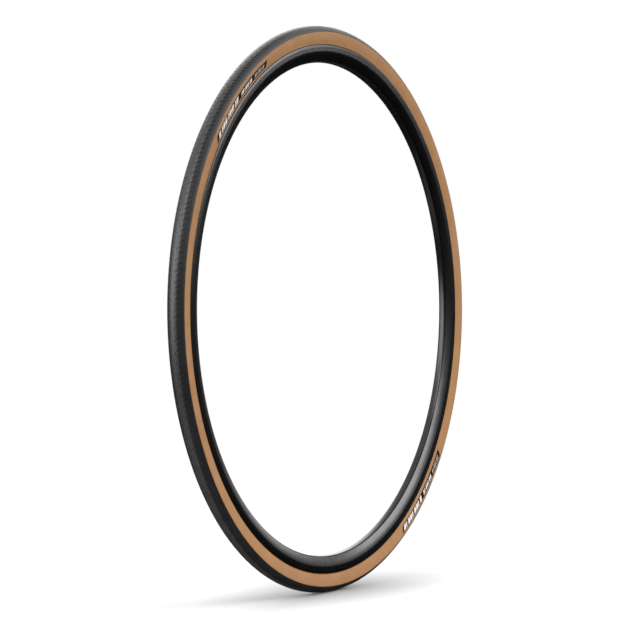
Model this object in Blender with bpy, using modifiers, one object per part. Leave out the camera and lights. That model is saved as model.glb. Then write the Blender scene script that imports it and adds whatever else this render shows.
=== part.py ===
"""Road bicycle tire, 28-622 (700 x 28C), seated on a plain hollow rim hoop.

The wheel axis is Y, +Z is up and the origin is the wheel centre. Every ring is a section
turned about Y, and all rings share the same angular steps, so their flat facets line up.
Sections are written in millimetres as (radius, side), side being the distance along the axis.
"""
import math

import bpy

MM = 0.001
STEPS = 48
GAP = 0.3

# Tire section: crown, widest point, and how the outline runs between and below them.
CROWN_RADIUS = 339.0
WIDEST_RADIUS = 331.0
HALF_WIDTH = 11.05
CROWN_EXPONENT = 1.75
LOWER_REACH = 21.9

# Places along the outline, as angles: 0 at the crown, 90 at the widest point.
TREAD_EDGE = 84.0
SKIN_START = 86.7
WALL_MID = 98.0
WALL_LOW = 110.0
SKIN_END = 125.0
TURNUP_END = 72.0

# Layer thicknesses and the depth of each layer's middle below the outline.
CROWN_MID = 24.0
CROWN_EDGE = 48.0
TREAD_DEPTHS = {0.0: 2.6, CROWN_MID: 2.5, CROWN_EDGE: 2.1, 58.0: 1.7, 68.0: 0.6, TREAD_EDGE: 0.6}
TREAD_TOP = (0.0, CROWN_MID, CROWN_EDGE, 60.0, TURNUP_END)
PLY = 0.5
SKIN = 0.55
BELT = 0.5
BELT_EDGE = 46.0
UNDER_TREAD = GAP + BELT / 2
BELT_DEPTHS = {
    0.0: TREAD_DEPTHS[0.0] + UNDER_TREAD,
    CROWN_MID: TREAD_DEPTHS[CROWN_MID] + UNDER_TREAD,
    BELT_EDGE: 2.7,
}
OUTER_PLY_DEPTH = SKIN + GAP + PLY / 2
UNDER_BELT = UNDER_TREAD + BELT / 2 + GAP + PLY / 2
WALL_PLY = OUTER_PLY_DEPTH + GAP + PLY
INNER_PLY_DEPTHS = {
    0.0: TREAD_DEPTHS[0.0] + UNDER_BELT,
    CROWN_MID: TREAD_DEPTHS[CROWN_MID] + UNDER_BELT,
    CROWN_EDGE: TREAD_DEPTHS[CROWN_EDGE] + UNDER_BELT,
    58.0: 2.75,
    70.0: WALL_PLY,
    90.0: WALL_PLY,
    WALL_LOW: WALL_PLY,
}

# Bead: a steel hoop, the ply folded round it and the chafer round both.
BEAD_RADIUS = 313.7
BEAD_SIDE = 5.4
CORE_SIZE = 0.9
PLY_WRAP = CORE_SIZE + GAP + PLY / 2
CHAFER = 0.4
CHAFER_WRAP = PLY_WRAP + PLY / 2 + GAP + CHAFER / 2
WRAP_ANGLES = (-180.0, -132.5, -85.0, -37.5, 10.0)
NECK_OUTER = (316.6, 6.5)
NECK_INNER = (316.9, 5.0)
SKIN_TIP = (316.75, 8.75)
SKIN_FOOT = (316.6, 7.9)
CHAFER_TOP = (316.15, 7.2)

# Rim hoop: a nearly flat underside, rounded cheeks, upright brake faces, hooked flanges and a
# centre well. The flange's points are given as (distance below its top, side).
RIM_HALF_WIDTH = 9.3
RIM_INNER_RADIUS = 295.2
RIM_UNDERSIDE = (
    (RIM_INNER_RADIUS, 2.0),
    (295.9, 4.2),
    (298.4, 5.5),
    (301.5, 7.05),
    (305.3, 8.5),
    (309.2, RIM_HALF_WIDTH),
)
FLANGE_INSIDE = 8.1
FLANGE_TOP = 316.1
HOOK_LEAN = 0.25
FLANGE_SHAPE = (
    (0.6, RIM_HALF_WIDTH),
    (0.0, RIM_HALF_WIDTH - 0.5),
    (0.0, FLANGE_INSIDE),
    (0.4, FLANGE_INSIDE - HOOK_LEAN),
    (0.9, FLANGE_INSIDE - HOOK_LEAN),
    (1.6, FLANGE_INSIDE),
)
SEAT_RADIUS = 311.0
SEAT_EDGE = 3.0
WELL_RADIUS = 308.4
WELL_EDGE = 1.8
CAVITY = ((306.8, 2.6), (309.0, 4.2), (309.0, 7.4), (304.5, 7.3), (300.0, 5.4), (297.8, 2.8))
SEAM = 0.3
SLEEVE = ((306.3, 6.8), (304.5, 6.8), (300.3, 4.9), (298.2, 2.5))
SLEEVE_LENGTH = 70.0
BLOCK_HEIGHT = 40.0

# Label patches: start and end round the wheel in degrees, and across the sidewall.
LABEL_THICKNESS = 0.25
LABEL_GAP = 0.45
LABEL_STEPS = 8
UPPER_LABEL = {"around": (119.8, 144.7), "across": (99.0, 119.0)}
LOWER_LABEL = {"around": (-58.8, -34.8), "across": (96.0, 117.0)}


def outline(angle):
    """Point of the tire's outer outline, and the outward direction there."""
    def point(degrees):
        cosine = abs(math.cos(math.radians(degrees)))
        sine = math.sin(math.radians(degrees))
        if degrees > 90.0:
            return WIDEST_RADIUS - LOWER_REACH * cosine, HALF_WIDTH * sine
        power = 2.0 / CROWN_EXPONENT
        rise = (CROWN_RADIUS - WIDEST_RADIUS) * cosine ** power
        return WIDEST_RADIUS + rise, HALF_WIDTH * sine ** power

    if angle == 0.0:
        return point(0.0), (1.0, 0.0)
    if angle == 90.0:
        return point(90.0), (0.0, 1.0)
    before = point(angle - 0.2)
    after = point(angle + 0.2)
    along = (after[0] - before[0], after[1] - before[1])
    length = math.hypot(*along)
    return point(angle), (along[1] / length, -along[0] / length)


def inset(angle, depth):
    """Point at a depth below the outline; negative angles lie on the other side."""
    (radius, side), (out_radius, out_side) = outline(abs(angle))
    radius -= depth * out_radius
    side -= depth * out_side
    return radius, math.copysign(side, angle) if angle else 0.0


def both_sides(half):
    """Whole section from its positive half, given from the middle outwards."""
    other = [(radius, -side) for radius, side in reversed(half) if side > 0.0]
    return other + list(half)


def flipped(points, sign):
    """Points on the left side for sign 1, on the right for -1."""
    return [(radius, sign * side) for radius, side in points]


def round_bead(size, angles):
    """Points round the bead; 0 degrees points sideways out and 90 away from the axle."""
    points = []
    for degrees in angles:
        turn = math.radians(degrees)
        points.append((BEAD_RADIUS + size * math.sin(turn), BEAD_SIDE + size * math.cos(turn)))
    return points


def make_material(name, colour, roughness, metallic=0.0):
    material = bpy.data.materials.new(name)
    material.use_nodes = True
    shader = material.node_tree.nodes["Principled BSDF"]
    shader.inputs["Base Color"].default_value = (*colour, 1.0)
    shader.inputs["Roughness"].default_value = roughness
    shader.inputs["Metallic"].default_value = metallic
    material.diffuse_color = (*colour, 1.0)
    return material


def signed_area(points):
    """Area of a closed loop; the Screw modifier faces it outwards when this is negative."""
    total = 0.0
    for (r0, s0), (r1, s1) in zip(points, points[1:] + points[:1]):
        total += r0 * s1 - r1 * s0
    return total / 2


def profile_object(name, points, closed, collection):
    """Section as an edge loop or chain in the plane of X (radius) and Y (side)."""
    points = list(points)
    if closed and signed_area(points) > 0.0:
        points.reverse()
    edges = [(index, index + 1) for index in range(len(points) - 1)]
    if closed:
        edges.append((len(points) - 1, 0))
    mesh = bpy.data.meshes.new(name)
    mesh.from_pydata([(radius * MM, side * MM, 0.0) for radius, side in points], edges, [])
    item = bpy.data.objects.new(name, mesh)
    collection.objects.link(item)
    return item


def turn_profile(item, degrees=360.0, steps=STEPS):
    """Turn the section about Y."""
    screw = item.modifiers.new("Turn", "SCREW")
    screw.axis = "Y"
    screw.angle = math.radians(degrees)
    screw.steps = steps
    screw.render_steps = steps
    screw.use_merge_vertices = degrees == 360.0
    screw.merge_threshold = 0.00001
    screw.use_smooth_shade = True


def solid_ring(name, points, material, collection):
    """Ring with a closed section."""
    item = profile_object(name, points, True, collection)
    item.data.materials.append(material)
    turn_profile(item)
    return item


def sheet_ring(name, points, thickness, material, collection):
    """Ring made of a sheet that follows an open chain."""
    item = profile_object(name, points, False, collection)
    item.data.materials.append(material)
    turn_profile(item)
    add_thickness(item, thickness)
    return item


def add_thickness(item, thickness):
    solidify = item.modifiers.new("Thickness", "SOLIDIFY")
    solidify.thickness = thickness * MM
    solidify.offset = 0.0
    solidify.use_even_offset = True


def make_tread(collection):
    top = [inset(angle, 0.0) for angle in TREAD_TOP + (TREAD_EDGE,)]
    under = [inset(angle, depth) for angle, depth in TREAD_DEPTHS.items()]
    section = both_sides(top) + list(reversed(both_sides(under)))
    rubber = make_material("tread_rubber", (0.045, 0.045, 0.047), 0.55)
    return solid_ring("tread", section, rubber, collection)


def make_puncture_belt(collection):
    middle = [inset(angle, depth) for angle, depth in BELT_DEPTHS.items()]
    fibre = make_material("belt_fibre", (0.62, 0.50, 0.16), 0.8)
    return sheet_ring("puncture_belt", both_sides(middle), BELT, fibre, collection)


def ply_half():
    """Casing ply from the crown down, round the bead and back up to the turn-up's end."""
    inside = [inset(angle, depth) for angle, depth in INNER_PLY_DEPTHS.items()]
    fold = round_bead(PLY_WRAP, WRAP_ANGLES)
    outside = [inset(angle, OUTER_PLY_DEPTH) for angle in (WALL_LOW, 90.0, TURNUP_END)]
    return inside + [NECK_INNER] + fold + [NECK_OUTER] + outside


def make_casing_ply(collection):
    cloth = make_material("casing_cloth", (0.36, 0.24, 0.14), 0.85)
    return sheet_ring("casing_ply", both_sides(ply_half()), PLY, cloth, collection)


def make_sidewall(name, sign, material, collection):
    outer = [inset(angle, 0.0) for angle in (SKIN_START, WALL_MID, WALL_LOW, SKIN_END)]
    inner = [inset(angle, SKIN) for angle in (WALL_LOW, WALL_MID, SKIN_START)]
    section = outer + [SKIN_TIP, SKIN_FOOT] + inner
    return solid_ring(name, flipped(section, sign), material, collection)


def make_bead_core(name, sign, material, collection):
    hexagon = round_bead(CORE_SIZE, range(0, 360, 60))
    return solid_ring(name, flipped(hexagon, sign), material, collection)


def make_chafer(name, sign, material, collection):
    middle = [CHAFER_TOP] + round_bead(CHAFER_WRAP, reversed(WRAP_ANGLES))
    return sheet_ring(name, flipped(middle, sign), CHAFER, material, collection)


def make_label(name, sign, place, material, collection):
    """Thin patch that follows the sidewall over a part of the turn."""
    start, end = place["around"]
    depth = -(LABEL_GAP + LABEL_THICKNESS / 2)
    low, high = place["across"]
    chain = [inset(angle, depth) for angle in (low, (low + high) / 2, high)]
    item = profile_object(name, flipped(chain, sign), False, collection)
    item.data.materials.append(material)
    turn_profile(item, end - start, LABEL_STEPS)
    item.rotation_euler = (0.0, -math.radians(end), 0.0)
    add_thickness(item, LABEL_THICKNESS)
    return item


def rim_half():
    """Rim outline from the middle of its underside to the middle of its well."""
    flange = [(FLANGE_TOP - drop, side) for drop, side in FLANGE_SHAPE]
    bed = [(SEAT_RADIUS, FLANGE_INSIDE), (SEAT_RADIUS, SEAT_EDGE), (WELL_RADIUS, WELL_EDGE)]
    return list(RIM_UNDERSIDE) + flange + bed


def bottom_block(name, width, cutters):
    """Block across the hoop's section at its lowest point, where its ends butt."""
    bpy.ops.mesh.primitive_cube_add(size=1.0)
    block = bpy.context.object
    block.name = name
    block.scale = (width * MM, 3 * RIM_HALF_WIDTH * MM, BLOCK_HEIGHT * MM)
    block.location = (0.0, 0.0, -(RIM_INNER_RADIUS + RIM_HALF_WIDTH) * MM)
    block.hide_render = True
    block.display_type = "WIRE"
    for owner in list(block.users_collection):
        owner.objects.unlink(block)
    cutters.objects.link(block)
    return block


def add_boolean(item, operation, cutter):
    cut = item.modifiers.new(operation.title() + " " + cutter.name, "BOOLEAN")
    cut.operation = operation
    cut.solver = "EXACT"
    cut.object = cutter


def mirrored_loop(half):
    """Closed section from its half on the positive side."""
    return list(half) + [(radius, -side) for radius, side in reversed(half)]


def make_rim(material, collection, cutters):
    rim = solid_ring("rim_hoop", mirrored_loop(rim_half()), material, collection)
    cavity = profile_object("rim_cavity_cutter", mirrored_loop(CAVITY), True, cutters)
    cavity.hide_render = True
    cavity.display_type = "WIRE"
    turn_profile(cavity)
    add_boolean(rim, "DIFFERENCE", cavity)
    add_boolean(rim, "DIFFERENCE", bottom_block("rim_seam_cutter", SEAM, cutters))


def make_joint_sleeve(material, collection, cutters):
    """Block inside the hollow rim that bridges the seam."""
    sleeve = solid_ring("rim_joint_sleeve", mirrored_loop(SLEEVE), material, collection)
    add_boolean(sleeve, "INTERSECT", bottom_block("sleeve_length_guide", SLEEVE_LENGTH, cutters))


def new_collection(name):
    collection = bpy.data.collections.new(name)
    bpy.context.scene.collection.children.link(collection)
    return collection


def main():
    for item in list(bpy.data.objects):
        bpy.data.objects.remove(item)
    parts = new_collection("bicycle_tire")
    cutters = new_collection("cutters")

    make_tread(parts)
    make_puncture_belt(parts)
    make_casing_ply(parts)

    tan = make_material("tan_rubber", (0.42, 0.23, 0.11), 0.65)
    steel = make_material("bead_steel", (0.60, 0.60, 0.62), 0.35, 1.0)
    black = make_material("chafer_cloth", (0.02, 0.018, 0.016), 0.8)
    print_black = make_material("label_print", (0.012, 0.012, 0.012), 0.4)
    for side, sign in (("left", 1), ("right", -1)):
        make_sidewall("sidewall_" + side, sign, tan, parts)
        make_bead_core("bead_core_" + side, sign, steel, parts)
        make_chafer("chafer_" + side, sign, black, parts)
        make_label("label_" + side + "_upper", sign, UPPER_LABEL, print_black, parts)
        make_label("label_" + side + "_lower", sign, LOWER_LABEL, print_black, parts)

    anodised = make_material("rim_anodised", (0.03, 0.03, 0.032), 0.4, 0.6)
    make_rim(anodised, parts, cutters)
    alloy = make_material("sleeve_alloy", (0.75, 0.75, 0.77), 0.4, 1.0)
    make_joint_sleeve(alloy, parts, cutters)


main()
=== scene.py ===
import math

import bmesh
import bpy
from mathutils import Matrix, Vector


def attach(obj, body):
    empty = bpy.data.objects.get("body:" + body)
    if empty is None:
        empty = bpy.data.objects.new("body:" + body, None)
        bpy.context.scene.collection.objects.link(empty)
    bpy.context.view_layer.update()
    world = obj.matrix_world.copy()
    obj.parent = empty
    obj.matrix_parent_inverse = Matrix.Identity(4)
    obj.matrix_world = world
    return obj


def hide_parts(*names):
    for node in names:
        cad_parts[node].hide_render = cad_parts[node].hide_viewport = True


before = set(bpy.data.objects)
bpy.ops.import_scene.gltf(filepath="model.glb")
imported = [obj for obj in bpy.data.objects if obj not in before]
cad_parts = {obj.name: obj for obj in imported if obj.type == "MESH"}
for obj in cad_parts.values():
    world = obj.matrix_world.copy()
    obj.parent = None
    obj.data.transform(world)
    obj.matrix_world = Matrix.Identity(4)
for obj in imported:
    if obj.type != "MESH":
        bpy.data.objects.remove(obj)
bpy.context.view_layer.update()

# Road bicycle tire on a plain rim hoop. The wheel axis is Y and +Z is up, as in the frame.
# Sections are (radius, side) in millimetres; ring angles run from +X towards +Z, in degrees.
MM = 0.001
STEPS = 360
GAP = 0.3

# Tire section, as the frame has it: 0 degrees is the crown, 90 the widest point.
CROWN_RADIUS = 339.0
WIDEST_RADIUS = 331.0
HALF_WIDTH = 11.05
CROWN_EXPONENT = 1.75
LOWER_REACH = 21.9
WIDEST_ANGLE = 90.0
# Its slope is measured a nudge to each side; its length is summed in steps. Both in degrees.
NUDGE = 0.2
ARC_STEP = 0.1
ARC_END = 140.0

# Sidewall skins: angles on the outline, and the points of the tip beside the flange.
SKIN = 0.55
SKIN_START = 86.7
SKIN_END = 125.0
WALL_LOW = 110.0
SKIN_OUTER_STEP = 2.0
SKIN_INNER_STEP = 4.0
SKIN_TIP = (316.75, 8.75)
SKIN_FOOT = (316.6, 7.9)

# Underside of the tread and middle of the belt, as (angle, depth below the outline).
TREAD_UNDERSIDE = ((0.0, 2.6), (24.0, 2.5), (48.0, 2.1), (58.0, 1.7), (68.0, 0.6), (84.0, 0.6))
BELT = 0.5
BELT_MIDDLE = ((0.0, 3.15), (12.0, 3.1), (24.0, 3.05), (35.0, 2.9), (46.0, 2.7))

# Casing ply: depths below the outline, on its inner run and on its folded outer run.
PLY = 0.5
PLY_OUTER_DEPTH = SKIN + GAP + PLY / 2
PLY_WALL_DEPTH = PLY_OUTER_DEPTH + GAP + PLY
PLY_CROWN = ((0.0, 3.95), (12.0, 3.9), (24.0, 3.85), (36.0, 3.65), (48.0, 3.45), (58.0, 2.75))
PLY_WALL_ANGLES = (70.0, 80.0, 90.0, 100.0, WALL_LOW)
PLY_OUTER_ANGLES = (WALL_LOW, 100.0, 90.0, 80.0, 72.0)
NECK_OUTER = (316.6, 6.5)
NECK_INNER = (316.9, 5.0)

# Bead. Angles round it: 0 points sideways out and 90 away from the axle.
BEAD_RADIUS = 313.7
BEAD_SIDE = 5.4
CORE_SIZE = 0.9
CORE_CORNERS = 6
CHAFER = 0.4
CHAFER_TOP = (316.15, 7.2)
PLY_WRAP = CORE_SIZE + GAP + PLY / 2
CHAFER_WRAP = PLY_WRAP + PLY / 2 + GAP + CHAFER / 2
WRAP_OUTER = 10.0
WRAP_INNER = -180.0
PLY_WRAP_STEP = 12.0
CHAFER_WRAP_STEP = 10.0

# Rim hoop. Its ends meet at the lowest point. A cheek's arcs are (first slope, last slope,
# length), in degrees and millimetres.
RIM_HALF_WIDTH = 9.3
RIM_INNER_RADIUS = 295.1
RIM_FLANK_FOOT = 309.2
RIM_SEAM = 0.3
LOWEST = -90.0
CHEEK_ARCS = ((90.0, 74.0, 2.6), (74.0, 58.0, 10.9))
CHEEK_STEPS = 8
GROOVE_SIDE = 4.4
GROOVE_HALF = 0.42
GROOVE_DEPTH = 2.9
# Underside as (height over the inner radius, side), down to the groove's far corner.
UNDERSIDE = (
    (0.0, 0.0),
    (0.05, 1.2),
    (0.2, 2.4),
    (0.42, 3.4),
    (0.65, GROOVE_SIDE - GROOVE_HALF),
    (GROOVE_DEPTH, GROOVE_SIDE - GROOVE_HALF / 2),
    (GROOVE_DEPTH, GROOVE_SIDE + GROOVE_HALF / 4),
)
# Flank: where it turns straight, and its wear line as (height from the line, depth).
FLANK_START = 0.4
WEAR_LINE_RADIUS = 312.2
WEAR_LINE = ((-0.25, 0.0), (-0.1, 0.25), (0.1, 0.25), (0.25, 0.0))
# Flange: its rounded top as (drop, depth from the flank), its hook as (drop, lean inwards).
FLANGE_TOP = 316.1
FLANGE_INSIDE = 8.1
FLANGE_ROUND = ((0.6, 0.0), (0.25, 0.1), (0.05, 0.35), (0.0, 0.6))
FLANGE_HOOK = ((0.1, 0.0), (0.4, 0.22), (0.9, 0.25), (1.6, 0.0))
SEAT_RADIUS = 311.0
SEAT_EDGE = 3.0
WELL_RADIUS = 308.4
WELL_EDGE = 1.8

# Tread pattern: repeats round the wheel, and one repeat's columns as shares of its length.
PITCHES = 170
PITCH_COLUMNS = (0.0, 0.205, 0.226, 0.274, 0.295, 0.5, 0.705, 0.726, 0.774, 0.795)
FIRST_FLOOR = (0.226, 0.274)
SECOND_FLOOR = (0.726, 0.774)
SIPE_DEPTH = 0.55
# Distances across from the crown: where the sipes run, where they slant, where the shoulders'
# rubber starts, and the rows of points. The slant is a share of a repeat, and UNDERSIDE_MAP is
# how far past the last row the map closes.
LONG_SIPE = (1.6, 7.9)
SHORT_SIPE = (4.1, 7.9)
SIPE_SLANT = -0.31
SLANT_START = 1.2
SLANT_END = 8.3
CROWN_BAND = 4.7
UNDERSIDE_MAP = 20.0
HALF_ROWS = (
    0.6, 1.2, 1.6, 2.2, 2.9, 3.6, 4.1, 4.7, 5.4, 6.1, 6.8, 7.4, 7.9, 8.3,
    9.0, 9.7, 11.1, 12.5, 13.7, 14.08,
)

# Labels: patches and bars on the sidewall. "around" is in ring degrees, "across" in millimetres
# from the crown, "lean" in degrees. A row of bars is (first, last, how many, share filled,
# foot, top, ink), its foot and top as shares of the patch's height.
LABEL_ROWS = 8
LABEL_STEP = 0.5
LABEL_LIFT = 0.12
LABEL_THICKNESS = 0.12
MARK_LIFT = 0.2
MARK_THICKNESS = 0.1
BAR_GROUP = 3
NARROW_BAR = 0.55
LABELS = {
    "upper": {
        "around": (119.8, 144.7),
        "across": (19.0, 26.1),
        "lean": 0.9,
        "rows": (
            (133.2, 144.0, 9, 0.8, 0.12, 0.88, "white"),
            (126.6, 131.8, 7, 0.66, 0.2, 0.8, "white"),
            (121.0, 125.4, 7, 0.6, 0.22, 0.78, "grey"),
        ),
    },
    "lower": {
        "around": (-58.8, -34.8),
        "across": (17.2, 24.6),
        "lean": 0.9,
        "rows": (
            (-58.2, -47.6, 9, 0.8, 0.12, 0.88, "white"),
            (-46.4, -41.0, 7, 0.66, 0.2, 0.8, "white"),
            (-40.2, -35.6, 7, 0.6, 0.22, 0.78, "grey"),
        ),
    },
}

# Edges sharper than this, in degrees, are shaded as edges.
SHARP = 35.0
TREAD_SHARP = 40.0
RIM_SHARP = 28.0
LABEL_SHARP = 30.0

# Materials. Colours are linear, pitches and slants are in millimetres and degrees. Noise is
# (scale per metre, detail, share of the finer detail) and mostly keeps inside NOISE_RANGE.
# A remap is (old low, old high, new low, new high). A bump is (height in metres, strength).
NOISE_RANGE = (0.3, 0.7)
RUBBER_IOR = 1.6
RUBBER_BLUE = 1.02
RUBBER_CLOUD = (60.0, 4.0, 0.5)
RUBBER_GRAIN = (2600.0, 2.0, 0.5)
RUBBER_SPREAD = 0.1
HATCH = (0.9, 55.0)
HATCH_SHARE = 0.25
RIBS = (3.1, 38.0)
RIB_SHARE = 1.3
TREAD_BUMP = (0.00012, 0.5)
TAN_SPECULAR = 0.3
TAN_PITCH = 0.85
TAN_SLANTS = (45.0, -45.0)
TAN_CLOUD = (45.0, 5.0, 0.6)
TAN_GRAIN = (1400.0, 2.0, 0.5)
TAN_DARK = (0.38, 0.191, 0.076)
TAN_LIGHT = (0.45, 0.23, 0.096)
TAN_THREAD = (0.28, 0.145, 0.065, 1.0)
TAN_SPECK = (0.5, 0.31, 0.17, 1.0)
TAN_THREAD_REMAP = (0.3, 1.0, 0.25, 0.0)
TAN_SPECK_REMAP = (0.55, 0.8, 0.0, 0.3)
TAN_ROUGHNESS_REMAP = (0.2, 0.8, 0.5, 0.68)
TAN_BUMP = (0.00009, 0.5)
RIM_CLOUD = (25.0, 3.0, 0.5)
RIM_GRAIN = (900.0, 3.0, 0.5)
RIM_DARK = (0.07, 0.07, 0.072)
RIM_LIGHT = (0.084, 0.084, 0.086)
RIM_ROUGHNESS_REMAP = (*NOISE_RANGE, 0.24, 0.28)
RIM_BUMP = (0.00002, 0.012)
CLOTH_SPECULAR = 0.3
CLOTH_CLOUD = (300.0, 3.0, 0.5)
CLOTH_CLOUD_SHARE = 0.4
CLOTH_TONE_REMAP = (0.4, 1.4, 0.0, 1.0)
CLOTH_SPREAD = 0.1
CLOTH_BUMP_STRENGTH = 0.7
BRUSH_ALONG = 0.02
BRUSH_ACROSS = 9.0
BRUSH_DETAIL = 4.0
ALLOY_GRAIN = (1200.0, 3.0, 0.5)
METAL_SPREAD = 0.15
METAL_BUMP = (0.00002, 0.5)
INK_GRAIN = (1500.0, 3.0, 0.5)
INK_SPREAD = 0.12
INK_BUMP = (0.00004, 0.4)
# Inks are (light colour, dark colour, roughness, specular level).
INKS = {
    "black": ((0.006, 0.006, 0.006), (0.003, 0.003, 0.003), 0.62, 0.15),
    "white": ((0.85, 0.85, 0.85), (0.72, 0.72, 0.72), 0.45, 0.35),
    "grey": ((0.52, 0.5, 0.46), (0.4, 0.38, 0.35), 0.45, 0.35),
}

# Floor: a disc, a little greyer in an oval round the contact, as a painted contact shadow.
FLOOR_REACH = 0.9
FLOOR_CORNERS = 96
FLOOR_ROUGHNESS = 0.8
FLOOR_SPECULAR = 0.2
FLOOR_CLOUD = (3.0, 3.0, 0.5)
FLOOR_DARK = (0.82, 0.82, 0.82)
FLOOR_LIGHT = (0.835, 0.835, 0.835)
# Painted contact shadow: its middle and reach as (x, y) in metres, and its darkness at the middle.
PAINTED_SHADOW_MIDDLE = (0.025, 0.01)
PAINTED_SHADOW_REACH = (0.26, 0.105)
PAINTED_SHADOW_DEPTH = 0.47
BLACK = (0.0, 0.0, 0.0, 1.0)
WHITE = (1.0, 1.0, 1.0, 1.0)

# World light by direction. The dome brightens with height. The backdrop is a soft round patch
# behind the object that rises from the horizon. Far below the horizon is the floor's glow,
# stronger towards -X. "edges" are where a change starts and ends, "levels" the light there.
DOME_EDGES = (0.0, 0.35)
DOME_LEVELS = (0.02, 0.7)
BACKDROP_DIRECTION = (0.847, 0.49, 0.206)
BACKDROP_EDGES = (0.62, 0.93)
BACKDROP_LEVELS = (0.0, 2.6)
RISE_EDGES = (0.05, 0.17)
RISE_LEVELS = (0.02, 1.0)
GLOW_EDGES = (-0.7, -0.35)
GLOW_SIDES = (-0.45, -0.15)
GLOW_LEVELS = (0.32, 0.05)

# Area lights, aimed at the wheel's middle: place and size in metres, power in watts.
AREA_LIGHTS = {
    "front_key": ((1.25, -2.15, 1.2), (2.7, 1.3), 44.0),
    "front_high": ((0.6, -1.7, 2.3), (2.2, 1.0), 9.0),
    "left_back": ((-1.9, 1.0, 0.3), (1.8, 1.4), 18.0),
    "left_high": ((-2.1, -0.3, 1.5), (1.4, 1.2), 12.0),
}

# Camera: level, turned 60 degrees from the side view towards the tread.
LENS = 140.2
SENSOR = 36.0
SHIFT = (-0.02616, -0.00537)
CAMERA_TURN = -60.0
CAMERA_DISTANCE = 2.926
CAMERA_REACH = 500.0


# ------------------------------------------------------------------ sections


def outline(angle):
    """Point of the tire's outer outline."""
    cosine = abs(math.cos(math.radians(angle)))
    sine = math.sin(math.radians(angle))
    if angle > WIDEST_ANGLE:
        return WIDEST_RADIUS - LOWER_REACH * cosine, HALF_WIDTH * sine
    power = 2.0 / CROWN_EXPONENT
    rise = (CROWN_RADIUS - WIDEST_RADIUS) * cosine ** power
    return WIDEST_RADIUS + rise, HALF_WIDTH * sine ** power


def inset(angle, depth):
    """Point at a depth below the outline; negative angles lie on the other side."""
    size = abs(angle)
    if size < NUDGE:
        return CROWN_RADIUS - depth, 0.0
    before = Vector(outline(size - NUDGE))
    after = Vector(outline(size + NUDGE))
    along = (after - before).normalized()
    radius, side = outline(size)
    radius -= depth * along[1]
    side += depth * along[0]
    return radius, math.copysign(side, angle)


def arc_table():
    """Distance across from the crown against the outline's angle."""
    table = [(0.0, 0.0)]
    last = Vector(outline(0.0))
    for step in range(1, round(ARC_END / ARC_STEP) + 1):
        angle = step * ARC_STEP
        here = Vector(outline(angle))
        table.append((table[-1][0] + (here - last).length, angle))
        last = here
    return table


ARC = arc_table()


def angle_at(distance):
    """Outline angle at a distance across from the crown, in millimetres."""
    for (low, start), (high, end) in zip(ARC, ARC[1:]):
        if high >= distance:
            return start + (end - start) * (distance - low) / (high - low)
    return ARC[-1][1]


def place(radius, side, degrees):
    """Point in metres at a ring angle."""
    turn = math.radians(degrees)
    return (radius * MM * math.cos(turn), side * MM, radius * MM * math.sin(turn))


def flipped(points, sign):
    """Points on the left side for sign 1, on the right for -1."""
    return [(radius, sign * side) for radius, side in points]


def smooth_angles(start, end, step):
    """Even angles from start to end."""
    count = max(1, round(abs(end - start) / step))
    return [start + (end - start) * index / count for index in range(count + 1)]


def mirrored_chain(half):
    """Open chain from the right side to the left, from its half on the left."""
    return [(radius, -side) for radius, side in reversed(half[1:])] + half


def thick(chain, thickness):
    """Closed section of a sheet that follows an open chain."""
    points = [Vector(point) for point in chain]
    near = []
    far = []
    for index, point in enumerate(points):
        before = points[max(index - 1, 0)]
        after = points[min(index + 1, len(points) - 1)]
        along = (after - before).normalized()
        across = Vector((along[1], -along[0])) * thickness / 2
        near.append(tuple(point + across))
        far.append(tuple(point - across))
    return near + far[::-1]


def section_lengths(section):
    """Distance along a closed section at each point, and once more at the end."""
    lengths = [0.0]
    for here, after in zip(section, section[1:] + section[:1]):
        lengths.append(lengths[-1] + math.dist(here, after))
    return lengths


# -------------------------------------------------------------------- meshes


def finish_mesh(name, vertices, faces, uvs, materials, sharp):
    """Mesh object with outward faces, smooth shading and a map in millimetres."""
    mesh = bpy.data.meshes.new(name)
    mesh.from_pydata(vertices, [], faces)
    layer = mesh.uv_layers.new(name="millimetres")
    flat = [value for face in uvs for corner in face for value in corner]
    layer.data.foreach_set("uv", flat)
    work = bmesh.new()
    work.from_mesh(mesh)
    bmesh.ops.recalc_face_normals(work, faces=work.faces)
    work.to_mesh(mesh)
    work.free()
    mesh.shade_smooth()
    mesh.set_sharp_from_angle(angle=math.radians(sharp))
    for material in materials:
        mesh.materials.append(material)
    piece = bpy.data.objects.new(name, mesh)
    bpy.context.scene.collection.objects.link(piece)
    return piece


def skin_over(loops, lengths, around, closed):
    """Vertices, faces and map of a skin over loops that follow one another round the wheel."""
    count = len(loops[0])
    vertices = [point for loop in loops for point in loop]
    faces = []
    uvs = []
    spans = len(loops) if closed else len(loops) - 1
    for turn in range(spans):
        here = turn * count
        after = ((turn + 1) % len(loops)) * count
        for index in range(count):
            follow = (index + 1) % count
            faces.append((here + index, after + index, after + follow, here + follow))
            uvs.append((
                (around[turn], lengths[index]),
                (around[turn + 1], lengths[index]),
                (around[turn + 1], lengths[index + 1]),
                (around[turn], lengths[index + 1]),
            ))
    if not closed:
        for turn in (0, len(loops) - 1):
            faces.append(tuple(turn * count + index for index in range(count)))
            uvs.append(tuple((around[turn], lengths[index]) for index in range(count)))
    return vertices, faces, uvs


def loft(name, loops, lengths, around, closed, materials, sharp=SHARP):
    """Piece with one skin over its loops."""
    vertices, faces, uvs = skin_over(loops, lengths, around, closed)
    return finish_mesh(name, vertices, faces, uvs, materials, sharp)


def turned(name, section, material):
    """Full ring with a closed section."""
    section = list(section)
    loops = []
    around = []
    middle = sum(radius for radius, side in section) / len(section)
    for step in range(STEPS):
        degrees = 360.0 * step / STEPS
        loops.append([place(radius, side, degrees) for radius, side in section])
        around.append(math.radians(degrees) * middle)
    around.append(math.tau * middle)
    return loft(name, loops, section_lengths(section), around, True, [material])


def adopt(piece, node):
    """Piece stands for a node of the frame: it joins the root body, and the node's own part is hidden.
    """
    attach(piece, "root")
    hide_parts(node)


# ----------------------------------------------------------------- materials


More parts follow.
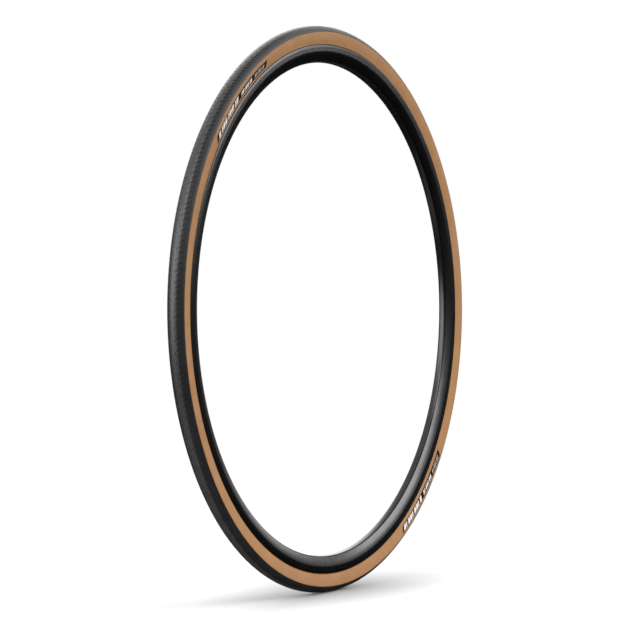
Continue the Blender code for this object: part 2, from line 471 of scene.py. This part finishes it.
class Nodes:
    """Node tree with a few helpers."""

    def __init__(self, tree):
        self.tree = tree

    def node(self, kind, values=None, **settings):
        """New node; values are its inputs by place or name, as numbers or sockets."""
        made = self.tree.nodes.new("ShaderNode" + kind)
        for key, value in settings.items():
            setattr(made, key, value)
        for key, value in (values or {}).items():
            self.feed(made.inputs[key], value)
        return made

    def feed(self, socket, value):
        """Link a socket, or set its number or colour."""
        if isinstance(value, bpy.types.NodeSocket):
            self.tree.links.new(value, socket)
        else:
            socket.default_value = value

    def math(self, operation, *values):
        """Result of a Math node."""
        return self.node("Math", dict(enumerate(values)), operation=operation).outputs[0]

    def remap(self, value, low, high, new_low, new_high):
        """Value moved from one range to another and kept inside it."""
        made = self.node("MapRange", {0: value, 1: low, 2: high, 3: new_low, 4: new_high})
        return made.outputs[0]


class Surface(Nodes):
    """Principled material built from nodes."""

    def __init__(self, name, roughness=0.5, metallic=0.0, specular=0.5):
        self.material = bpy.data.materials.new(name)
        self.material.use_nodes = True
        super().__init__(self.material.node_tree)
        self.shader = self.tree.nodes["Principled BSDF"]
        self.shader.inputs["Roughness"].default_value = roughness
        self.shader.inputs["Metallic"].default_value = metallic
        self.shader.inputs["Specular IOR Level"].default_value = specular

    def uv(self):
        """The map's two directions, in millimetres."""
        source = self.node("UVMap", uv_map="millimetres")
        split = self.node("SeparateXYZ", {0: source.outputs[0]})
        return split.outputs[0], split.outputs[1]

    def noise(self, scale, detail, roughness):
        """Noise in the object's own space."""
        source = self.node("TexCoord")
        values = {
            "Vector": source.outputs["Object"],
            "Scale": scale,
            "Detail": detail,
            "Roughness": roughness,
        }
        return self.node("TexNoise", values).outputs["Fac"]

    def ramp(self, value, dark, light, span=NOISE_RANGE):
        """Colour between two over a span of the value."""
        made = self.node("ValToRGB", {0: value})
        for element, spot, colour in zip(made.color_ramp.elements, span, (dark, light)):
            element.position = spot
            element.color = (*colour, 1.0)
        return made.outputs[0]

    def mix(self, factor, first, second):
        """Mix of two colours."""
        values = {0: factor, 6: first, 7: second}
        return self.node("Mix", values, data_type="RGBA").outputs[2]

    def colour(self, value):
        """Set the base colour."""
        self.feed(self.shader.inputs["Base Color"], value)

    def roughness(self, value):
        """Set the roughness."""
        self.feed(self.shader.inputs["Roughness"], value)

    def bump(self, height, depth, strength):
        """Bump whose height of 1 is depth metres."""
        made = self.node("Bump", {"Height": height, "Distance": depth, "Strength": strength})
        self.feed(self.shader.inputs["Normal"], made.outputs[0])

    def threads(self, pitch, slant, along, across):
        """Height of parallel threads, 0 to 1, at a slant and a pitch."""
        turn = math.radians(slant)
        first = self.math("MULTIPLY", along, math.sin(turn) * math.tau / pitch)
        second = self.math("MULTIPLY", across, math.cos(turn) * math.tau / pitch)
        wave = self.math("SINE", self.math("ADD", first, second))
        return self.math("MULTIPLY_ADD", wave, 0.5, 0.5)

    def weave(self, pitch, slants):
        """Height of two crossing sets of threads."""
        along, across = self.uv()
        one, other = (self.threads(pitch, slant, along, across) for slant in slants)
        return self.math("MAXIMUM", one, other)


def tread_rubber(name, dark, light, roughness, specular):
    """Black rubber with a fine hatch and slanted ribs from the mould."""
    surface = Surface(name, specular=specular)
    surface.shader.inputs["IOR"].default_value = RUBBER_IOR
    along, across = surface.uv()
    cloud = surface.noise(*RUBBER_CLOUD)
    fine = surface.noise(*RUBBER_GRAIN)
    tones = [(tone, tone, tone * RUBBER_BLUE) for tone in (dark, light)]
    surface.colour(surface.ramp(cloud, *tones))
    surface.roughness(surface.math("MULTIPLY_ADD", fine, RUBBER_SPREAD, roughness))
    hatch = surface.threads(*HATCH, along, across)
    ribs = surface.threads(*RIBS, along, surface.math("ABSOLUTE", across))
    height = surface.math("MULTIPLY_ADD", hatch, HATCH_SHARE, fine)
    height = surface.math("MULTIPLY_ADD", ribs, RIB_SHARE, height)
    surface.bump(height, *TREAD_BUMP)
    return surface.material


def tan_rubber():
    """Tan rubber, slightly cloudy, with the casing's threads showing through."""
    surface = Surface("tan_rubber", specular=TAN_SPECULAR)
    weave = surface.weave(TAN_PITCH, TAN_SLANTS)
    speck = surface.noise(*TAN_GRAIN)
    base = surface.ramp(surface.noise(*TAN_CLOUD), TAN_DARK, TAN_LIGHT)
    threaded = surface.mix(surface.remap(weave, *TAN_THREAD_REMAP), base, TAN_THREAD)
    surface.colour(surface.mix(surface.remap(speck, *TAN_SPECK_REMAP), threaded, TAN_SPECK))
    surface.roughness(surface.remap(speck, *TAN_ROUGHNESS_REMAP))
    surface.bump(surface.math("ADD", weave, speck), *TAN_BUMP)
    return surface.material


def rim_anodised():
    """Black anodised alloy, satin, with a very fine grain."""
    surface = Surface("rim_anodised", metallic=1.0)
    fine = surface.noise(*RIM_GRAIN)
    surface.colour(surface.ramp(surface.noise(*RIM_CLOUD), RIM_DARK, RIM_LIGHT))
    surface.roughness(surface.remap(fine, *RIM_ROUGHNESS_REMAP))
    surface.bump(fine, *RIM_BUMP)
    return surface.material


def woven(name, light, dark, pitch, slants, roughness, depth):
    """Cloth of two crossing sets of threads."""
    surface = Surface(name, specular=CLOTH_SPECULAR)
    weave = surface.weave(pitch, slants)
    cloud = surface.noise(*CLOTH_CLOUD)
    tone = surface.math("MULTIPLY_ADD", cloud, CLOTH_CLOUD_SHARE, weave)
    surface.colour(surface.ramp(surface.remap(tone, *CLOTH_TONE_REMAP), dark, light, (0.0, 1.0)))
    surface.roughness(surface.remap(weave, 0.0, 1.0, roughness + CLOTH_SPREAD, roughness))
    surface.bump(weave, depth, CLOTH_BUMP_STRENGTH)
    return surface.material


def mottled(surface, pattern, light, dark, roughness, spread, bump):
    """Colour, roughness and bump that all follow one pattern."""
    surface.colour(surface.ramp(pattern, dark, light))
    surface.roughness(surface.remap(pattern, *NOISE_RANGE, roughness, roughness + spread))
    surface.bump(pattern, *bump)
    return surface.material


def brushed(name, light, dark, roughness):
    """Metal with fine marks along the ring."""
    surface = Surface(name, metallic=1.0)
    along, across = surface.uv()
    stretched = {
        0: surface.math("MULTIPLY", along, BRUSH_ALONG),
        1: surface.math("MULTIPLY", across, BRUSH_ACROSS),
    }
    marks = surface.node("CombineXYZ", stretched).outputs[0]
    noise = surface.node("TexNoise", {"Vector": marks, "Scale": 1.0, "Detail": BRUSH_DETAIL})
    pattern = noise.outputs["Fac"]
    return mottled(surface, pattern, light, dark, roughness, METAL_SPREAD, METAL_BUMP)


def milled(name, light, dark, roughness):
    """Alloy with fine marks, mapped in the object's own space."""
    surface = Surface(name, metallic=1.0)
    pattern = surface.noise(*ALLOY_GRAIN)
    return mottled(surface, pattern, light, dark, roughness, METAL_SPREAD, METAL_BUMP)


def label_ink(name, light, dark, roughness, specular):
    """Printed ink, slightly mottled by the rubber under it."""
    surface = Surface(name, specular=specular)
    pattern = surface.noise(*INK_GRAIN)
    return mottled(surface, pattern, light, dark, roughness, INK_SPREAD, INK_BUMP)


# -------------------------------------------------------------------- pieces


def sipe_depth(share, distance):
    """Depth below the outline at a share of the pitch and a distance across from the crown."""
    reaches = (LONG_SIPE, SHORT_SIPE) if distance > 0.0 else (SHORT_SIPE, LONG_SIPE)
    for floor, (start, end) in zip((FIRST_FLOOR, SECOND_FLOOR), reaches):
        if floor[0] <= share <= floor[1] and start <= abs(distance) <= end:
            return SIPE_DEPTH
    return 0.0


def slant(distance):
    """How far a sipe has run along the wheel there, as a share of the pitch."""
    run = (abs(distance) - SLANT_START) / (SLANT_END - SLANT_START)
    return SIPE_SLANT * min(max(run, 0.0), 1.0)


def tread_column(rows, share):
    """The tread's outer points at a share of the pitch, as (radius, side, shift)."""
    points = []
    for row in rows:
        angle = math.copysign(angle_at(abs(row)), row)
        points.append((*inset(angle, sipe_depth(share, row)), slant(row)))
    return points


def split_shoulders(band, shoulder):
    """Give the tread's faces beyond the crown band the second rubber."""
    band.data.materials.append(shoulder)
    layer = band.data.uv_layers["millimetres"].data
    for polygon in band.data.polygons:
        across = sum(layer[corner].uv[1] for corner in polygon.loop_indices) / polygon.loop_total
        polygon.material_index = 1 if abs(across) > CROWN_BAND else 0


def make_tread(crown, shoulder):
    """Tread band with its sipes; the shoulders have their own rougher, darker rubber, and the crown's
    lighter colour is a painted sheen.
    """
    rows = [-value for value in reversed(HALF_ROWS)] + [0.0] + list(HALF_ROWS)
    under = list(reversed(TREAD_UNDERSIDE)) + [(-angle, depth) for angle, depth in TREAD_UNDERSIDE[1:]]
    below = [(*inset(angle, depth), slant(rows[-1])) for angle, depth in under]
    columns = {share: tread_column(rows, share) + below for share in PITCH_COLUMNS}
    lengths = rows + [rows[-1] + index for index in range(1, len(under) + 1)]
    lengths.append(rows[-1] + UNDERSIDE_MAP)
    loops = []
    around = []
    for pitch in range(PITCHES):
        for share, column in columns.items():
            loop = []
            for radius, side, shift in column:
                loop.append(place(radius, side, (pitch + share + shift) * 360.0 / PITCHES))
            loops.append(loop)
            around.append((pitch + share) * math.tau * CROWN_RADIUS / PITCHES)
    around.append(math.tau * CROWN_RADIUS)
    band = loft("tread_rubber_band", loops, lengths, around, True, [crown], TREAD_SHARP)
    split_shoulders(band, shoulder)
    return band


def make_sidewall(side, sign, material):
    """Tan skin from the tread's edge to a tip that hangs beside the flange."""
    outer = [inset(angle, 0.0) for angle in smooth_angles(SKIN_START, SKIN_END, SKIN_OUTER_STEP)]
    inner = [inset(angle, SKIN) for angle in smooth_angles(WALL_LOW, SKIN_START, SKIN_INNER_STEP)]
    section = outer + [SKIN_TIP, SKIN_FOOT] + inner
    return turned("sidewall_" + side + "_skin", flipped(section, sign), material)


def round_bead(size, angles):
    """Points round the bead at a distance from its middle."""
    points = []
    for degrees in angles:
        turn = math.radians(degrees)
        points.append((BEAD_RADIUS + size * math.sin(turn), BEAD_SIDE + size * math.cos(turn)))
    return points


def make_chafer(side, sign, material):
    """Cloth strip round the outside of the folded ply."""
    wrap = round_bead(CHAFER_WRAP, smooth_angles(WRAP_OUTER, WRAP_INNER, CHAFER_WRAP_STEP))
    middle = flipped([CHAFER_TOP] + wrap, sign)
    return turned("chafer_" + side + "_strip", thick(middle, CHAFER), material)


def make_bead_core(side, sign, material):
    """Steel hoop inside the folded ply."""
    corners = round_bead(CORE_SIZE, range(0, 360, 360 // CORE_CORNERS))
    return turned("bead_core_" + side + "_hoop", flipped(corners, sign), material)


def make_belt(material):
    """Woven strip under the tread's crown."""
    half = [inset(angle, depth) for angle, depth in BELT_MIDDLE]
    return turned("puncture_belt_strip", thick(mirrored_chain(half), BELT), material)


def make_ply(material):
    """Casing cloth from bead to bead, folded round each bead and back up."""
    half = [inset(angle, depth) for angle, depth in PLY_CROWN]
    half += [inset(angle, PLY_WALL_DEPTH) for angle in PLY_WALL_ANGLES]
    half.append(NECK_INNER)
    half += round_bead(PLY_WRAP, smooth_angles(WRAP_INNER, WRAP_OUTER, PLY_WRAP_STEP))
    half.append(NECK_OUTER)
    half += [inset(angle, PLY_OUTER_DEPTH) for angle in PLY_OUTER_ANGLES]
    return turned("casing_ply_cloth", thick(mirrored_chain(half), PLY), material)


def rim_cheek():
    """Rounded cheek from the flank down to the groove, stepped by its slope."""
    radius, side = RIM_FLANK_FOOT, RIM_HALF_WIDTH
    points = [(radius, side)]
    for start, end, length in CHEEK_ARCS:
        for step in range(CHEEK_STEPS):
            turn = math.radians(start + (end - start) * (step + 0.5) / CHEEK_STEPS)
            radius -= math.sin(turn) * length / CHEEK_STEPS
            side -= math.cos(turn) * length / CHEEK_STEPS
            points.append((radius, side))
    return points


def rim_half():
    """Rim outline from the middle of its underside to the edge of its well."""
    bottom = [(RIM_INNER_RADIUS + rise, side) for rise, side in UNDERSIDE]
    face = [(RIM_FLANK_FOOT + FLANK_START, RIM_HALF_WIDTH)]
    face += [(WEAR_LINE_RADIUS + rise, RIM_HALF_WIDTH - depth) for rise, depth in WEAR_LINE]
    face += [(FLANGE_TOP - drop, RIM_HALF_WIDTH - depth) for drop, depth in FLANGE_ROUND]
    face += [(FLANGE_TOP - drop, FLANGE_INSIDE - lean) for drop, lean in FLANGE_HOOK]
    bed = [(SEAT_RADIUS, FLANGE_INSIDE), (SEAT_RADIUS, SEAT_EDGE), (WELL_RADIUS, WELL_EDGE)]
    return bottom + rim_cheek()[::-1] + face + bed


def make_rim(material):
    """Hoop bent round from one length; its two ends meet at the lowest point."""
    half = rim_half()
    section = half + [(radius, -side) for radius, side in reversed(half[1:])]
    gap = math.degrees(RIM_SEAM / 2 / RIM_INNER_RADIUS)
    first = LOWEST + gap
    span = 360.0 - 2.0 * gap
    loops = []
    around = []
    for step in range(STEPS + 1):
        degrees = first + span * step / STEPS
        loops.append([place(radius, side, degrees) for radius, side in section])
        around.append(math.radians(degrees) * RIM_INNER_RADIUS)
    lengths = section_lengths(section)
    return loft("rim_hoop_shell", loops, lengths, around, False, [material], RIM_SHARP)


def patch_shell(sign, around, across, lean, lift, thickness):
    """Skin of a thin slanted patch that stands a lift over the sidewall."""
    start, end = around
    low, high = across
    steps = max(2, round((end - start) / LABEL_STEP))
    shares = [row / LABEL_ROWS for row in range(LABEL_ROWS + 1)]
    heights = [low + (high - low) * row / LABEL_ROWS for row in range(LABEL_ROWS + 1)]
    top = [inset(angle_at(height), -lift - thickness) for height in heights]
    bottom = [inset(angle_at(height), -lift) for height in reversed(heights)]
    loops = []
    places = []
    for step in range(steps + 1):
        degrees = start + (end - start) * step / steps
        loop = []
        for (radius, side), share in zip(top + bottom, shares + shares[::-1]):
            loop.append(place(radius, sign * side, degrees + lean * (share - 0.5)))
        loops.append(loop)
        places.append(math.radians(degrees) * WIDEST_RADIUS)
    return skin_over(loops, section_lengths(top + bottom), places, False)


def make_marks(name, sign, bars, lean, material):
    """Row of plain slanted bars as one piece; bars are (around, across)."""
    vertices = []
    faces = []
    uvs = []
    for around, across in bars:
        points, sides, corners = patch_shell(sign, around, across, lean, MARK_LIFT, MARK_THICKNESS)
        faces += [tuple(index + len(vertices) for index in face) for face in sides]
        vertices += points
        uvs += corners
    return finish_mesh(name, vertices, faces, uvs, [material], LABEL_SHARP)


def bar_row(first, last, count, fill, across):
    """Evenly spaced bars, one narrow in each group."""
    pitch = (last - first) / count
    bars = []
    for index in range(count):
        start = first + pitch * index
        width = pitch * fill * (NARROW_BAR if index % BAR_GROUP == 1 else 1.0)
        bars.append(((start, start + width), across))
    return bars


def make_label(side, level, sign, inks):
    """Black patch with rows of plain light bars."""
    spec = LABELS[level]
    low, high = spec["across"]
    lean = spec["lean"]
    name = "label_" + side + "_" + level
    skin = patch_shell(sign, spec["around"], spec["across"], lean, LABEL_LIFT, LABEL_THICKNESS)
    adopt(finish_mesh(name + "_ground", *skin, [inks["black"]], LABEL_SHARP), name)
    height = high - low
    for number, (first, last, count, fill, bottom, top, ink) in enumerate(spec["rows"], 1):
        bars = bar_row(first, last, count, fill, (low + height * bottom, low + height * top))
        title = name + "_marks_" + str(number)
        marks = make_marks(title, sign, bars, lean * (top - bottom), inks[ink])
        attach(marks, "root")


# -------------------------------------------------------------------- studio


def floor_paper():
    """Pale paper, greyer in an oval round the contact, as a painted contact shadow."""
    surface = Surface("studio_floor", roughness=FLOOR_ROUGHNESS, specular=FLOOR_SPECULAR)
    source = surface.node("TexCoord")
    split = surface.node("SeparateXYZ", {0: source.outputs["Object"]})
    squares = []
    for output, middle, reach in zip(split.outputs, PAINTED_SHADOW_MIDDLE, PAINTED_SHADOW_REACH):
        offset = surface.math("MULTIPLY_ADD", output, 1.0 / reach, -middle / reach)
        squares.append(surface.math("MULTIPLY", offset, offset))
    distance = surface.math("SQRT", surface.math("ADD", *squares))
    # Painted contact shadow: darkest at the oval's middle, gone at its edge.
    painted_shadow = surface.remap(distance, 0.0, 1.0, PAINTED_SHADOW_DEPTH, 0.0)
    paper = surface.ramp(surface.noise(*FLOOR_CLOUD), FLOOR_DARK, FLOOR_LIGHT)
    surface.colour(surface.mix(painted_shadow, paper, BLACK))
    return surface.material


def make_floor():
    """Round floor under the tire, left out of reflections."""
    mesh = bpy.data.meshes.new("studio_floor")
    height = -CROWN_RADIUS * MM
    rim = []
    for step in range(FLOOR_CORNERS):
        turn = math.tau * step / FLOOR_CORNERS
        rim.append((FLOOR_REACH * math.cos(turn), FLOOR_REACH * math.sin(turn), height))
    mesh.from_pydata(rim, [], [tuple(range(FLOOR_CORNERS))])
    mesh.materials.append(floor_paper())
    floor = bpy.data.objects.new("studio_floor", mesh)
    floor.visible_glossy = False
    bpy.context.scene.collection.objects.link(floor)


def make_world():
    """White behind the object; as light, the dome, the backdrop and the floor's glow."""
    world = bpy.data.worlds.new("studio")
    bpy.context.scene.world = world
    world.use_nodes = True
    nodes = Nodes(world.node_tree)
    toward = nodes.node("TexCoord").outputs["Generated"]
    x, y, z = nodes.node("SeparateXYZ", {0: toward}).outputs
    dome = nodes.remap(z, *DOME_EDGES, *DOME_LEVELS)
    facing = nodes.node("VectorMath", {0: toward, 1: BACKDROP_DIRECTION}, operation="DOT_PRODUCT")
    backdrop = nodes.remap(facing.outputs["Value"], *BACKDROP_EDGES, *BACKDROP_LEVELS)
    rise = nodes.remap(z, *RISE_EDGES, *RISE_LEVELS)
    glow = nodes.remap(z, *GLOW_EDGES, nodes.remap(x, *GLOW_SIDES, *GLOW_LEVELS), 0.0)
    light = nodes.math("MAXIMUM", dome, nodes.math("MULTIPLY", backdrop, rise))
    light = nodes.math("MAXIMUM", light, glow)
    seen = nodes.node("LightPath").outputs["Is Camera Ray"]
    background = nodes.tree.nodes["Background"]
    nodes.feed(background.inputs["Color"], WHITE)
    nodes.feed(background.inputs["Strength"], nodes.remap(seen, 0.0, 1.0, light, 1.0))


def make_area(name, source, size, power):
    """Rectangular light aimed at the wheel's middle."""
    light = bpy.data.lights.new(name, "AREA")
    light.shape = "RECTANGLE"
    light.size, light.size_y = size
    light.energy = power
    item = bpy.data.objects.new(name, light)
    item.location = source
    item.rotation_euler = (-item.location).to_track_quat("-Z", "Y").to_euler()
    bpy.context.scene.collection.objects.link(item)


def make_camera():
    """Level camera that looks at the tread and the right side."""
    camera = bpy.data.cameras.new("camera")
    camera.lens = LENS
    camera.sensor_width = SENSOR
    camera.shift_x, camera.shift_y = SHIFT
    camera.clip_end = CAMERA_REACH
    item = bpy.data.objects.new("camera", camera)
    turn = math.radians(CAMERA_TURN)
    item.location = (CAMERA_DISTANCE * math.sin(turn), -CAMERA_DISTANCE * math.cos(turn), 0.0)
    item.rotation_euler = (math.radians(90.0), 0.0, turn)
    bpy.context.scene.collection.objects.link(item)
    bpy.context.scene.camera = item


# ----------------------------------------------------------------------- all


def make_studio():
    """Camera, floor and light."""
    make_camera()
    make_floor()
    make_world()
    for name, (source, size, power) in AREA_LIGHTS.items():
        make_area(name, source, size, power)
    bpy.context.scene.view_settings.view_transform = "Standard"


def make_inks():
    """Materials of the labels' inks by name."""
    return {name: label_ink("label_" + name, *values) for name, values in INKS.items()}


def make_middle():
    """Tread, belt and casing, which span both sides."""
    # The crown's base colour is lighter than the shoulder's as a painted sheen; its lower roughness
    # and higher specular level are its real gloss.
    crown = tread_rubber(
        "tread_rubber_crown", dark=0.026, light=0.036, roughness=0.33, specular=0.7,
    )
    shoulder = tread_rubber(
        "tread_rubber_shoulder", dark=0.011, light=0.017, roughness=0.42, specular=0.36,
    )
    adopt(make_tread(crown, shoulder), "tread")
    fibre = woven(
        "belt_fibre", light=(0.66, 0.52, 0.17), dark=(0.36, 0.26, 0.07),
        pitch=1.1, slants=(25.0, -25.0), roughness=0.7, depth=0.0001,
    )
    adopt(make_belt(fibre), "puncture_belt")
    cloth = woven(
        "casing_cloth", light=(0.42, 0.29, 0.17), dark=(0.2, 0.12, 0.06),
        pitch=0.8, slants=(45.0, -45.0), roughness=0.8, depth=0.0001,
    )
    adopt(make_ply(cloth), "casing_ply")


def make_sides():
    """Skins, beads, chafers and labels on both sides."""
    tan = tan_rubber()
    steel = brushed(
        "bead_steel", light=(0.62, 0.62, 0.64), dark=(0.42, 0.42, 0.44), roughness=0.3,
    )
    dark = woven(
        "chafer_cloth", light=(0.035, 0.026, 0.018), dark=(0.012, 0.009, 0.007),
        pitch=0.5, slants=(40.0, -40.0), roughness=0.75, depth=0.00005,
    )
    inks = make_inks()
    for side, sign in (("left", 1), ("right", -1)):
        adopt(make_sidewall(side, sign, tan), "sidewall_" + side)
        adopt(make_bead_core(side, sign, steel), "bead_core_" + side)
        adopt(make_chafer(side, sign, dark), "chafer_" + side)
        for level in LABELS:
            make_label(side, level, sign, inks)


def make_hoop():
    """Rim hoop, and the finish of the sleeve inside it."""
    adopt(make_rim(rim_anodised()), "rim_hoop")
    alloy = milled(
        "sleeve_alloy", light=(0.62, 0.62, 0.64), dark=(0.44, 0.44, 0.46), roughness=0.35,
    )
    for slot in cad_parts["rim_joint_sleeve"].material_slots:
        slot.material = alloy


make_studio()
make_middle()
make_sides()
make_hoop()
